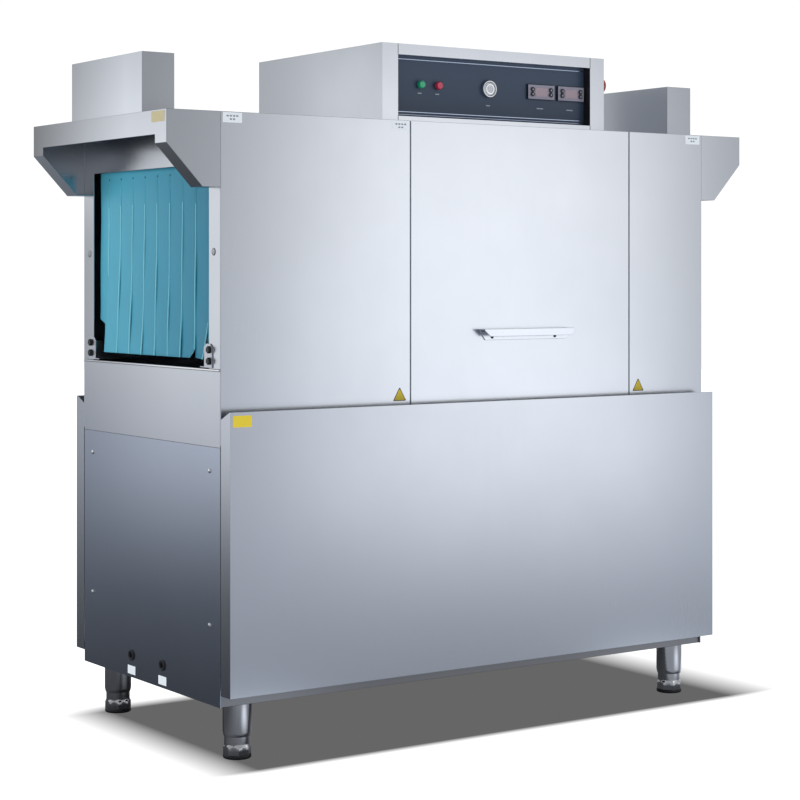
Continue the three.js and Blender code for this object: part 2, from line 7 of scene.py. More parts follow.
import math
import random

import bmesh
import bpy
from mathutils import Matrix, Vector


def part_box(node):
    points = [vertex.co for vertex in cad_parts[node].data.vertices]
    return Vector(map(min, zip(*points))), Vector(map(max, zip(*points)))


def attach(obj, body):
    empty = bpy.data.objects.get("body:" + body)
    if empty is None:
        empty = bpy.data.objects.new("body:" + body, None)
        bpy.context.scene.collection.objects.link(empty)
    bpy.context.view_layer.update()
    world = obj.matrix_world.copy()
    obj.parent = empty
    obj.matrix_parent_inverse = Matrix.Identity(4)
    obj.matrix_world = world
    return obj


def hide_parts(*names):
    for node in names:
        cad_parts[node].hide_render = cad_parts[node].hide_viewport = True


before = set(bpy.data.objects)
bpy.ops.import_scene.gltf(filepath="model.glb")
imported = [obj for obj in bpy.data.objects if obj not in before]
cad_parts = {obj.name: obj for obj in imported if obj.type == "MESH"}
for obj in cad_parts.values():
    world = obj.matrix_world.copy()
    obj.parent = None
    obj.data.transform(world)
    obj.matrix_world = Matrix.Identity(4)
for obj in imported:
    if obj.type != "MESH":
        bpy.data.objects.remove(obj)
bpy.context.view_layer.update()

MM = 0.001

CABINET = "cabinet"
ENDS = (("entry", -1), ("exit", 1))
FACES = (("front", -1), ("rear", 1))


# ------------------------------------------------------------------ shader helpers


def new_material(name):
    """A material with one Principled shader; returns its node tree and that shader."""
    material = bpy.data.materials.new(name)
    material.use_nodes = True
    tree = material.node_tree
    return material, tree, tree.nodes["Principled BSDF"]


def add(tree, kind, inputs=None, **settings):
    """A shader node. An input is a constant, or the output of another node."""
    node = tree.nodes.new("ShaderNode" + kind)
    for key, value in settings.items():
        setattr(node, key, value)
    for key, value in (inputs or {}).items():
        if isinstance(value, bpy.types.NodeSocket):
            tree.links.new(value, node.inputs[key])
        else:
            node.inputs[key].default_value = value
    return node


def object_point(tree, scale=(1, 1, 1)):
    """The point on the surface in the frame's metres, stretched by scale."""
    point = add(tree, "TexCoord").outputs["Object"]
    return add(tree, "Mapping", {"Vector": point, "Scale": scale}).outputs["Vector"]


def noise(tree, scale, stretch=(1, 1, 1), detail=3.0, roughness=0.5):
    vector = object_point(tree, stretch)
    inputs = {"Vector": vector, "Scale": scale, "Detail": detail, "Roughness": roughness}
    return add(tree, "TexNoise", inputs).outputs["Fac"]


def remap(tree, value, low, high, start=0.0, stop=1.0):
    inputs = {"Value": value, "From Min": start, "From Max": stop, "To Min": low, "To Max": high}
    return add(tree, "MapRange", inputs).outputs["Result"]


def blend_colors(tree, factor, first, second, mode="MIX"):
    node = add(tree, "Mix", data_type="RGBA", blend_type=mode)
    for socket, value in ((node.inputs[0], factor), (node.inputs[6], first), (node.inputs[7], second)):
        if isinstance(value, bpy.types.NodeSocket):
            tree.links.new(value, socket)
        elif isinstance(value, (int, float)):
            socket.default_value = value
        else:
            socket.default_value = (*value[:3], 1)
    return node.outputs[2]


def bump(tree, height, strength, distance):
    inputs = {"Height": height, "Strength": strength, "Distance": distance}
    return add(tree, "Bump", inputs).outputs["Normal"]


def scaled(color, factor):
    return tuple(min(1.0, channel * factor) for channel in color)


# ------------------------------------------------------------------ materials

STEEL = (0.60, 0.625, 0.67)
FINE_GRAIN = 1400.0


def facing(tree, axis, low=0.80, high=0.95):
    """One on surfaces whose normal lies along an axis, and zero on the others."""
    normal = add(tree, "TexCoord").outputs["Normal"]
    part = add(tree, "SeparateXYZ", {"Vector": normal}).outputs[axis]
    size = add(tree, "Math", {0: part}, operation="ABSOLUTE").outputs[0]
    return remap(tree, size, 0.0, 1.0, low, high)


def toned(tree, tone, level):
    """A colour times a level from zero to one."""
    grey = add(tree, "CombineXYZ", {"X": level, "Y": level, "Z": level}).outputs["Vector"]
    return blend_colors(tree, 1.0, tone, grey, mode="MULTIPLY")


def brushed_steel(name, color=STEEL, roughness=0.23, grain=(1, 1, 0.02), painted_shades=(), painted_front_shade=1.0):
    """Stainless sheet with a fine grain along one axis, faint smudges, and worn variation in its polish.

    Each painted shade is (axis, start, stop, darkest, faces): painted shade, which darkens the steel in place
    of the dim surroundings that it mirrors. From stop to start along that axis the tone falls to darkest
    times the
    colour: on the "ends", which look along X, on the "slants", which look partly up, or on "all" faces.
    painted_front_shade is the painted shade of the faces that look along Y.
    """
    material, tree, shader = new_material(name)
    streaks = noise(tree, FINE_GRAIN, grain, detail=2.0, roughness=0.6)
    broad = noise(tree, 90.0, grain, detail=2.0)
    smudge = noise(tree, 2.3, detail=4.0, roughness=0.62)
    tone = blend_colors(tree, streaks, scaled(color, 0.95), scaled(color, 1.05))
    tone = blend_colors(tree, remap(tree, broad, 0.0, 0.5), tone, scaled(color, 0.97))
    tone = blend_colors(tree, remap(tree, smudge, 0.0, 0.16, 0.35, 0.75), tone, scaled(color, 0.80))
    # Painted shade: the tone falls along an axis, in place of the dim surroundings that the steel mirrors.
    for axis, start, stop, darkest, faces in painted_shades:
        position = add(tree, "SeparateXYZ", {"Vector": object_point(tree)}).outputs[axis]
        level = remap(tree, position, darkest, 1.0, start, stop)
        if faces == "ends":
            level = remap(tree, facing(tree, "X"), 1.0, level)
        if faces == "slants":
            level = remap(tree, facing(tree, "Z", 0.2, 0.4), 1.0, level)
        tone = toned(tree, tone, level)
    # Painted shade on the faces that look along Y.
    if painted_front_shade < 1.0:
        tone = toned(tree, tone, remap(tree, facing(tree, "Y"), 1.0, painted_front_shade))
    tree.links.new(tone, shader.inputs["Base Color"])
    grain_polish = remap(tree, streaks, -0.03, 0.03)
    smudge_polish = remap(tree, smudge, roughness - 0.04, roughness + 0.07)
    polish = add(tree, "Math", {0: grain_polish, 1: smudge_polish}, operation="ADD").outputs[0]
    tree.links.new(polish, shader.inputs["Roughness"])
    tree.links.new(bump(tree, streaks, 0.035, 0.0001), shader.inputs["Normal"])
    shader.inputs["Metallic"].default_value = 1.0
    return material


def polished_steel(name, color=(0.72, 0.73, 0.75), roughness=0.14):
    """Drawn or turned steel: nearly bright, with faint drawing lines and fingerprints."""
    material, tree, shader = new_material(name)
    lines = noise(tree, 500.0, (1, 1, 0.05), detail=2.0)
    patches = noise(tree, 14.0, detail=3.0)
    tone = blend_colors(tree, lines, scaled(color, 0.92), scaled(color, 1.05))
    tree.links.new(tone, shader.inputs["Base Color"])
    tree.links.new(remap(tree, patches, roughness - 0.03, roughness + 0.08), shader.inputs["Roughness"])
    tree.links.new(bump(tree, lines, 0.05, 0.0002), shader.inputs["Normal"])
    shader.inputs["Metallic"].default_value = 1.0
    return material


def plastic(name, color, roughness=0.3, mottle=0.06, coat=0.0, grain=900.0, metallic=0.0):
    """Moulded plastic, rubber or paint: a faint mottle, a fine surface texture, and dust-dulled patches."""
    material, tree, shader = new_material(name)
    cloud = noise(tree, 22.0, detail=4.0)
    texture = noise(tree, grain, detail=2.0)
    tone = blend_colors(tree, cloud, scaled(color, 1 - mottle), scaled(color, 1 + mottle))
    tree.links.new(tone, shader.inputs["Base Color"])
    tree.links.new(remap(tree, cloud, roughness - 0.05, roughness + 0.08), shader.inputs["Roughness"])
    tree.links.new(bump(tree, texture, 0.12, 0.0002), shader.inputs["Normal"])
    shader.inputs["Metallic"].default_value = metallic
    shader.inputs["Coat Weight"].default_value = coat
    shader.inputs["Coat Roughness"].default_value = 0.12
    return material


def vinyl(name, color, painted_shade_color):
    """The curtain's flexible vinyl: soft sheen, slight depth, and calender lines along its length.

    Its colour turns to painted_shade_color towards the front side of the tunnel: painted shade, which darkens
    the front strips.
    """
    material, tree, shader = new_material(name)
    lines = noise(tree, 260.0, (1, 1, 0.03), detail=2.0)
    cloud = noise(tree, 9.0, detail=5.0, roughness=0.6)
    tone = blend_colors(tree, cloud, scaled(color, 0.86), scaled(color, 1.12))
    tone = blend_colors(tree, remap(tree, lines, 0.0, 0.35), tone, scaled(color, 1.1))
    across = add(tree, "SeparateXYZ", {"Vector": object_point(tree)}).outputs["Y"]
    # Painted shade: the tone darkens towards the front side of the tunnel.
    tone = blend_colors(tree, remap(tree, across, 1.0, 0.0, -0.27, 0.22), tone, painted_shade_color)
    tree.links.new(tone, shader.inputs["Base Color"])
    tree.links.new(remap(tree, cloud, 0.36, 0.5), shader.inputs["Roughness"])
    tree.links.new(bump(tree, lines, 0.12, 0.0003), shader.inputs["Normal"])
    shader.inputs["Subsurface Weight"].default_value = 0.12
    shader.inputs["Subsurface Radius"].default_value = (0.002, 0.004, 0.005)
    shader.inputs["Specular IOR Level"].default_value = 0.28
    return material


MATERIALS = {
    "sheet": brushed_steel("steel_sheet"),
    # Painted shade: the entry frame darkens towards its rear.
    "frame_entry": brushed_steel("steel_frame_entry", painted_shades=[("Y", 0.32, -0.30, 0.82, "all")]),
    # Painted reflection and painted shade: the hood's colour is brightened, its end darkens towards the rear,
    # its slants towards the front, and its faces that look along Y are darker.
    "hood_entry": brushed_steel(
        "steel_hood",
        scaled(STEEL, 1.12),
        painted_shades=[("Y", 0.36, -0.16, 0.18, "ends"), ("Y", -0.28, 0.30, 0.40, "slants")],
        painted_front_shade=0.75,
    ),
    # Painted reflection and painted shade: the vent's colour is brightened, its end darkens towards the rear,
    # and its faces that look along Y are darker.
    "vent_entry": brushed_steel(
        "steel_vent", scaled(STEEL, 1.30), painted_shades=[("Y", 0.22, -0.10, 0.46, "ends")], painted_front_shade=0.60
    ),
    # Painted reflection and painted shade: a darker, bluer steel that darkens towards the bottom, in place of
    # the dim floor that the panel mirrors.
    "lower_end": brushed_steel(
        "steel_lower_end", (0.46, 0.505, 0.595), painted_shades=[("Z", 0.12, 0.60, 0.82, "all")]
    ),
    # Painted shade: the middle end panels darken towards the bottom.
    "middle_end": brushed_steel("steel_middle_end", painted_shades=[("Z", 0.60, 1.0, 0.86, "all")]),
    # Painted shade: the apron darkens towards its top, and its end returns darken towards the bottom.
    "apron": brushed_steel(
        "steel_apron", painted_shades=[("Z", 0.85, 0.35, 0.90, "all"), ("Z", 0.12, 0.70, 0.70, "ends")]
    ),
    "handle": brushed_steel("steel_handle", scaled(STEEL, 1.1), 0.26, grain=(0.02, 1, 1)),
    "leg": polished_steel("steel_leg", (0.58, 0.575, 0.585), 0.13),
    "bright": polished_steel("steel_bright"),
    "rail": brushed_steel("steel_rail", scaled(STEEL, 0.92), 0.30, grain=(0.02, 1, 1)),
    "trim": polished_steel("steel_trim", (0.36, 0.42, 0.54), 0.22),
    "chrome": polished_steel("chrome", (0.80, 0.81, 0.83), 0.07),
    "inside": brushed_steel("steel_inside", scaled(STEEL, 0.85), 0.34),
    "cap": polished_steel("steel_cap", (0.36, 0.37, 0.39), 0.25),
    "bolt": plastic("bolt_black", (0.035, 0.035, 0.038), 0.32, metallic=0.8),
    "panel": plastic("panel_blue", (0.034, 0.060, 0.110), 0.45, mottle=0.10, grain=1500.0),
    "green": plastic("button_green", (0.014, 0.42, 0.20), 0.28, coat=0.4),
    "red": plastic("button_red", (0.60, 0.030, 0.085), 0.28, coat=0.4),
    "stop_red": plastic("stop_red", (0.33, 0.008, 0.014), 0.30, coat=0.4),
    "lens": plastic("lens_white", (0.62, 0.66, 0.72), 0.22, coat=0.6),
    "black": plastic("plastic_black", (0.012, 0.012, 0.015), 0.40),
    "rubber": plastic("rubber_black", (0.010, 0.012, 0.016), 0.55, grain=500.0),
    "lilac": plastic("controller_face", (0.30, 0.29, 0.38), 0.42),
    "display": plastic("controller_display", (0.34, 0.24, 0.30), 0.12, coat=0.8),
    "mark": plastic("printed_mark", (0.42, 0.48, 0.58), 0.5),
    "label_white": plastic("label_white", (0.80, 0.86, 0.92), 0.45, mottle=0.02),
    "label_yellow": plastic("label_yellow", (0.78, 0.60, 0.02), 0.45, mottle=0.03),
    "label_gold": plastic("label_gold", (0.47, 0.41, 0.24), 0.4, mottle=0.05),
    "print": plastic("label_print", (0.22, 0.24, 0.30), 0.5),
    "ink": plastic("label_ink", (0.03, 0.03, 0.03), 0.5),
    "vinyl": vinyl("curtain_vinyl", (0.066, 0.345, 0.475), (0.014, 0.180, 0.285)),
    # Painted highlight: the pale vinyl of the strips' cut edges, darker towards the front side as painted
    # shade.
    "vinyl_edge_highlight": vinyl("curtain_edge_highlight", (0.260, 0.640, 0.730), (0.200, 0.540, 0.640)),
    # Painted shade: a dark steel, so that the sill under the apron reads as part of the shadow beneath the
    # machine.
    "sill": brushed_steel("steel_sill", (0.30, 0.30, 0.31), 0.40),
    "casting": plastic("enamel_grey", (0.055, 0.08, 0.115), 0.45, mottle=0.12, grain=260.0, metallic=0.2),
    "dark_steel": polished_steel("steel_oiled", (0.16, 0.165, 0.18), 0.30),
}


# ------------------------------------------------------------------ mesh helpers


def add_object(name, bm, material, body=CABINET, smooth=False, crease=None):
    """Makes an object from a bmesh in the frame's metres, gives it a material and lets it ride on a body."""
    bmesh.ops.recalc_face_normals(bm, faces=bm.faces)
    mesh = bpy.data.meshes.new(name)
    bm.to_mesh(mesh)
    bm.free()
    obj = bpy.data.objects.new(name, mesh)
    bpy.context.scene.collection.objects.link(obj)
    mesh.materials.append(MATERIALS[material] if isinstance(material, str) else material)
    if smooth:
        mesh.shade_smooth()
    if crease is not None:
        mesh.set_sharp_from_angle(angle=math.radians(crease))
    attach(obj, body)
    return obj


def lathe(bm, profile, origin, axis, sides=24):
    """Turns [radius, height] pairs, which start and end on the axis, about an axis from origin."""
    turn = Vector((0, 0, 1)).rotation_difference(Vector(axis)).to_matrix().to_4x4()
    place = Matrix.Translation(origin) @ turn
    rings = []
    for radius, height in profile:
        if radius < 1e-9:
            rings.append([bm.verts.new(place @ Vector((0, 0, height)))])
            continue
        ring = []
        for step in range(sides):
            angle = 2 * math.pi * step / sides
            point = Vector((radius * math.cos(angle), radius * math.sin(angle), height))
            ring.append(bm.verts.new(place @ point))
        rings.append(ring)
    for lower, upper in zip(rings, rings[1:]):
        for step in range(sides):
            following = (step + 1) % sides
            corners = [lower[step % len(lower)], lower[following % len(lower)]]
            corners += [upper[following % len(upper)], upper[step % len(upper)]]
            unique = list(dict.fromkeys(corners))
            if len(unique) > 2:
                bm.faces.new(unique)


def turned_ring(bm, profile, origin, axis, sides):
    """Turns a closed outline of [radius, height] pairs in millimetres, which keeps clear of the axis."""
    lathe(bm, [(radius * MM, height * MM) for radius, height in profile], origin, axis, sides)
    bmesh.ops.remove_doubles(bm, verts=bm.verts, dist=0.01 * MM)


def middle_of_front(name):
    """The middle of a node's box, on the face that looks to the front."""
    low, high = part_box(name)
    return Vector(((low.x + high.x) / 2, low.y, (low.z + high.z) / 2))


def slab(bm, low, high, radius=0.0, segments=2):
    """A box between two corners, with rounded edges."""
    made = bmesh.ops.create_cube(bm, size=1.0)["verts"]
    low, high = Vector(low), Vector(high)
    size = high - low
    for vert in made:
        vert.co = low + Vector((size[i] * (vert.co[i] + 0.5) for i in range(3)))
    if radius:
        edges = {edge for vert in made for edge in vert.link_edges}
        bmesh.ops.bevel(bm, geom=list(edges), offset=radius, segments=segments, profile=0.5, affect="EDGES")


def prism(bm, outline, normal_axis, start, stop):
    """A flat outline, given as points in the other two axes in X, Y, Z order, extruded along one axis."""
    others = [i for i in range(3) if i != normal_axis]

    def corner(point, level):
        co = Vector((0, 0, 0))
        co[normal_axis] = level
        co[others[0]], co[others[1]] = point
        return bm.verts.new(co)

    near = [corner(point, start) for point in outline]
    far = [corner(point, stop) for point in outline]
    bm.faces.new(near)
    bm.faces.new(list(reversed(far)))
    count = len(outline)
    for i in range(count):
        j = (i + 1) % count
        bm.faces.new([near[j], near[i], far[i], far[j]])


def dome_profile(radius, height, steps=5):
    """A screw head's profile: a short rim and a quarter of an ellipse."""
    rim = height * 0.25
    points = [(0, 0), (radius, 0)]
    for step in range(steps + 1):
        angle = math.pi / 2 * step / steps
        points.append((radius * math.cos(angle), rim + (height - rim) * math.sin(angle)))
    points[-1] = (0, height)
    return points


# ------------------------------------------------------------------ the frame's own nodes

NODE_MATERIALS = {
    "sheet": ["_frame", "_panel", "roof", "door", "hood_", "vent_", "control_box"],
    "sill": ["base_sill"],
    "inside": ["wash_tank", "deck", "strainer"],
    "leg": ["leg_"],
    "rail": ["rack_rail"],
    "bright": ["curtain_rod", "pawl_bar", "overflow", "wash_arm", "rinse_arm", "impeller"],
    "chrome": ["power_bezel"],
    "casting": ["wash_pump", "drive_motor"],
    "dark_steel": ["pawl_1", "pawl_2", "drive_crank"],
}
NODE_EXACT = {
    "hood_entry": "hood_entry",
    "vent_entry": "vent_entry",
    "entry_frame": "frame_entry",
    "entry_lower_panel": "lower_end",
    "exit_lower_panel": "lower_end",
    "entry_middle_panel": "middle_end",
    "exit_middle_panel": "middle_end",
    "apron_front": "apron",
    "apron_rear": "apron",
    "door_handle": "handle",
    "control_panel": "panel",
    "start_button": "green",
    "stop_button": "red",
    "power_button": "lens",
    "e_stop_button": "stop_red",
    "controller_1": "black",
    "controller_2": "black",
    "key_1_left": "black",
    "key_1_right": "black",
    "key_2_left": "black",
    "key_2_right": "black",
    "curtain_entry": "vinyl",
    "curtain_exit": "vinyl",
}
ROUND_NODES = ("leg_", "button", "curtain_rod", "overflow", "wash_arm", "rinse_arm", "power_bezel", "key_")
EDGE = 0.8 * MM


def material_for(name):
    if name in NODE_EXACT:
        return NODE_EXACT[name]
    for material, patterns in NODE_MATERIALS.items():
        if any(pattern in name for pattern in patterns):
            return material
    return "sheet"


def dress_frame():
    """Gives every node its material, and softens its edges as folded sheet and turned parts have them."""
    for name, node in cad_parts.items():
        node.data.materials.clear()
        node.data.materials.append(MATERIALS[material_for(name)])
        weld = node.modifiers.new("weld", "WELD")
        weld.merge_threshold = 0.02 * MM
        flat = node.modifiers.new("flat", "DECIMATE")
        flat.decimate_type = "DISSOLVE"
        flat.angle_limit = math.radians(1.0)
        is_round = any(pattern in name for pattern in ROUND_NODES)
        edge = node.modifiers.new("edge", "BEVEL")
        edge.width = EDGE * (0.6 if is_round else 1.0)
        edge.segments = 2
        edge.limit_method = "ANGLE"
        edge.angle_limit = math.radians(35)
        edge.harden_normals = True
        for polygon in node.data.polygons:
            polygon.use_smooth = True
        smooth = node.modifiers.new("smooth", "WEIGHTED_NORMAL")
        smooth.keep_sharp = True


dress_frame()


# ------------------------------------------------------------------ fasteners, caps, grommets and stickers

PANEL_SCREWS_Y = 0.289
PANEL_SCREWS_Z = (0.297, 0.635)
POST_CAPS_Y = 0.307
POST_CAPS_Z = 1.114
LID_SCREWS_X = (-0.067, 0.332)
BRACKET_BOLTS_Y = 0.293
BRACKET_BOLTS_Z = (0.875, 0.900)
CABLE_HOLES_Y = (0.0845, -0.0685)
CABLE_HOLES_Z = 0.175
CABLE_TAGS_Z = 0.140
DOOR_SIDE_LABEL_X = -0.229
TRIANGLES_X = (-0.232, 0.489)
TRIANGLES_BOTTOM = 0.768


def screws():
    """Dome screws of the lower end panels, caps on the posts and the screws of the control box."""
    for end, side in ENDS:
        low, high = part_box(f"{end}_lower_panel")
        face = high.x if side > 0 else low.x
        bm = bmesh.new()
        for y in (-PANEL_SCREWS_Y, PANEL_SCREWS_Y):
            for z in PANEL_SCREWS_Z:
                lathe(bm, dome_profile(5.2 * MM, 3.4 * MM), (face, y, z), (side, 0, 0), 20)
        add_object(f"panel_screws_{end}", bm, "chrome", smooth=True, crease=50)

        bm = bmesh.new()
        for y in (-POST_CAPS_Y, POST_CAPS_Y):
            lathe(bm, dome_profile(8.4 * MM, 2.0 * MM), (face, y, POST_CAPS_Z), (side, 0, 0), 24)
        add_object(f"post_caps_{end}", bm, "cap", smooth=True, crease=50)

    low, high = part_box("control_box")
    bm = bmesh.new()
    for x in LID_SCREWS_X:
        spot = (x, low.y + 16 * MM, high.z - 4.0 * MM)
        lathe(bm, dome_profile(5.5 * MM, 3.6 * MM), spot, (0, 0, 1), 20)
    add_object("box_lid_screws", bm, "dark_steel", smooth=True, crease=50)


def bracket_bolts():
    """Blackened hex heads, over the bolts of the rail brackets."""
    head = [(0, 0.2), (8.1, 0.2), (8.1, 5.6), (7.0, 6.6), (0, 6.6)]
    head = [(radius * MM, height * MM) for radius, height in head]
    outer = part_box("rack_rail_front")[1].x - 5.0 * MM
    for end, side in ENDS:
        bm = bmesh.new()
        for y in (-BRACKET_BOLTS_Y, BRACKET_BOLTS_Y):
            for z in BRACKET_BOLTS_Z:
                lathe(bm, head, (side * outer, y, z), (side, 0, 0), 6)
        add_object(f"bracket_bolts_{end}", bm, "bolt", crease=30)


def grommets():
    """Rubber grommets in the two cable holes of the entry end, and the blank tags under them."""
    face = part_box("entry_lower_panel")[0].x
    ring = [(7.2, -6.0), (7.2, 2.6), (8.6, 3.6), (11.4, 3.6)]
    ring += [(13.0, 2.2), (13.0, 0.0), (8.8, 0.0), (8.8, -6.0), (7.2, -6.0)]
    bm = bmesh.new()
    for y in CABLE_HOLES_Y:
        turned_ring(bm, ring, (face, y, CABLE_HOLES_Z), (-1, 0, 0), 28)
    add_object("cable_grommets", bm, "rubber", smooth=True, crease=40)
    for index, y in enumerate(CABLE_HOLES_Y):
        name = f"cable_tag_{index + 1}"
        label(name, 0, -1, face, (y, CABLE_TAGS_Z), (0.019, 0.010), "label_white", CABINET)


def label(name, axis, side, level, center, half, material, body):
    """A sticker on a flat face, standing a quarter of a millimetre proud, with rounded corners.

    axis is the face's normal, side the way it looks and level its place. center and half lie in its plane.
    """
    u, v = center
    du, dv = half
    round_corner = 1.2 * MM
    points = []
    for su, sv, first in ((1, -1, -90), (1, 1, 0), (-1, 1, 90), (-1, -1, 180)):
        for step in range(4):
            angle = math.radians(first + 30 * step)
            cu = u + su * (du - round_corner) + round_corner * math.cos(angle)
            cv = v + sv * (dv - round_corner) + round_corner * math.sin(angle)
            points.append((cu, cv))
    bm = bmesh.new()
    prism(bm, points, axis, level + side * 0.02 * MM, level + side * 0.27 * MM)
    add_object(name, bm, material, body)


def stickers():
    """Stickers without words: three at the top of the front panels with rows of dashes, the others blank."""
    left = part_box("front_left_panel")
    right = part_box("front_right_panel")
    front = left[0].y
    top = left[1].z - 13 * MM
    places = {
        "left_panel": left[0].x + 0.029,
        "door_side": DOOR_SIDE_LABEL_X,
        "right_panel": right[1].x - 0.031,
    }
    for name, x in places.items():
        label(f"label_{name}", 1, -1, front, (x, top), (0.024, 0.011), "label_white", CABINET)
        printed_dashes(f"dashes_{name}", x, top, front)

    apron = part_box("apron_front")
    corner = (apron[0].x + 0.030, apron[1].z - 0.020)
    label("label_apron", 1, -1, apron[0].y, corner, (0.0235, 0.0125), "label_yellow", "apron_front")

    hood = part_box("hood_entry")
    spot = (hood[0].y + 0.038, hood[1].z - 0.0148)
    label("label_hood", 0, -1, hood[0].x, spot, (0.030, 0.0118), "label_gold", CABINET)

    for index, x in enumerate(TRIANGLES_X):
        triangle(f"label_triangle_{index + 1}", x, TRIANGLES_BOTTOM, front)


def printed_dashes(name, x, z, level):
    """Two rows of plain dashes on a sticker, where a label carries its print."""
    bm = bmesh.new()
    for row, count in ((3.6, 4), (-3.6, 2)):
        for index in range(count):
            middle = x + (index - (count - 1) / 2) * 8.0 * MM
            slab(
                bm,
                (middle - 2.6 * MM, level - 0.40 * MM, z + (row - 1.7) * MM),
                (middle + 2.6 * MM, level - 0.26 * MM, z + (row + 1.7) * MM),
            )
    add_object(name, bm, "print")


def triangle(name, x, bottom, level):
    """A blank yellow triangle with a dark border and rounded corners."""
    corner_radius = 2.2 * MM
    middle = bottom + 16.5 * MM
    layers = (("border", 0.020, 0.25, "ink"), ("field", 0.0165, 0.32, "label_yellow"))
    for part, size, depth, material in layers:
        points = []
        for corner in range(3):
            direction = math.radians(90 + 120 * corner)
            tip = Vector((math.cos(direction), math.sin(direction))) * (size * 0.86)
            for step in (-1, 0, 1):
                around = direction + math.radians(40 * step)
                across = x + tip.x + corner_radius * math.cos(around)
                points.append((across, middle + tip.y + corner_radius * math.sin(around)))
        bm = bmesh.new()
        prism(bm, points, 1, level - 0.02 * MM, level - depth * MM)
        add_object(f"{name}_{part}", bm, material)


screws()
bracket_bolts()
grommets()
stickers()


# ------------------------------------------------------------------ feet


def feet():
    """Screw feet: a round neck that turns into an octagon to take a spanner, on a black rubber ring."""
    sides = 48
    neck = 28.5 * MM
    across_flats = 28.9 * MM
    across_corners = 31.2 * MM
    round_down_to = 0.031
    heights = [0.112, 0.034, round_down_to, 0.0297, 0.0285, 0.0272, 0.026, 0.018, 0.0085]
    pad = [(0, 0), (29.6, 0), (31.0, 1.2), (31.5, 3.0), (31.5, 6.2), (30.6, 8.2), (29.4, 8.9), (0, 8.9)]
    pad = [(radius * MM, height * MM) for radius, height in pad]
    for end, _ in ENDS:
        for face, _ in FACES:
            node = f"foot_{end}_{face}"
            low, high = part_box(node)
            center = (low + high) / 2
            bm = bmesh.new()
            rings = []
            for height in heights:
                share = min(1.0, max(0.0, (round_down_to - height) / 0.005))
                ring = []
                for step in range(sides):
                    angle = 2 * math.pi * step / sides
                    away = (angle + math.pi / 8) % (math.pi / 4) - math.pi / 8
                    octagon = min(across_flats / math.cos(away), across_corners)
                    radius = neck + (octagon - neck) * share
                    x = center.x + radius * math.cos(angle)
                    y = center.y + radius * math.sin(angle)
                    ring.append(bm.verts.new((x, y, height)))
                rings.append(ring)
            for upper, lower in zip(rings, rings[1:]):
                for step in range(sides):
                    following = (step + 1) % sides
                    bm.faces.new([upper[step], upper[following], lower[following], lower[step]])
            bm.faces.new(rings[0])
            bm.faces.new(list(reversed(rings[-1])))
            steel = add_object(f"foot_steel_{end}_{face}", bm, "leg", node, smooth=True, crease=32)
            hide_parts(node)

            bm = bmesh.new()
            lathe(bm, pad, (center.x, center.y, 0), (0, 0, 1), sides)
            add_object(f"foot_pad_{end}_{face}", bm, "rubber", node, smooth=True, crease=40)


feet()


# ------------------------------------------------------------------ curtains

STRIPS = 9
STRIP_ROWS = 48
STRIP_COLUMNS = 6
SLIT_TOP = 1.288
SLIVER = 0.012
OVERLAP = 0.009
SLIT_SHIFT = 0.014
TEAR_TOP = 0.985
CURTAIN_SEEDS = {"entry": 5, "exit": 9}
BRACKETS_TOP = 0.925
BETWEEN_BRACKETS = 0.2655


def strip_plan(low_y, high_y, rng):
    """The strips from front to rear: where each starts and ends across the opening, and how it hangs."""
    pitch = (high_y - low_y) / STRIPS
    plan = []
    for index in range(STRIPS):
        share = index / (STRIPS - 1)
        plan.append(
            {
                "start": low_y + index * pitch + (SLIT_SHIFT if index else 0.0),
                "stop": min(high_y, low_y + (index + 1) * pitch + SLIT_SHIFT),
                "curl": rng.uniform(0.0007, 0.0009),
                "lean": 0.002 + 0.009 * share + rng.uniform(-0.001, 0.001),
                "sway": 0.001 + 0.005 * share,
                "swing": 0.0,
                "corner": 0.0,
                "short": 0.0,
                "slant": 0.0,
            }
        )
    # The front strip is torn lengthwise near its foot: a sliver hangs by itself and the rest is twisted.
    sliver = dict(plan[0], stop=low_y + SLIVER, curl=0.0004, lean=0.009, sway=0.004)
    plan[0].update(start=low_y + SLIVER, swing=0.28, lean=0.001, sway=0.0)
    plan[1].update(corner=0.020)
    # The rear strip is shorter, and cut at a slant.
    plan[-1].update(short=0.062, slant=0.018, lean=0.004)
    return [sliver] + plan


def painted_edge_highlight(bm, points, side):
    """A painted highlight on a strip's cut edge: a thin pale ribbon along its front edge, just proud of its
    outer face.
    """
    rows = []
    for point in points:
        rows.append([])
        for along, out in ((0.2, 0.9), (2.2, 0.9), (2.2, 1.35), (0.2, 1.35)):
            rows[-1].append(bm.verts.new(point + Vector((side * out * MM, along * MM, 0))))
    for upper, lower in zip(rows, rows[1:]):
        for corner in range(4):
            following = (corner + 1) % 4
            bm.faces.new([upper[corner], upper[following], lower[following], lower[corner]])
    bm.faces.new(rows[0])
    bm.faces.new(rows[-1])


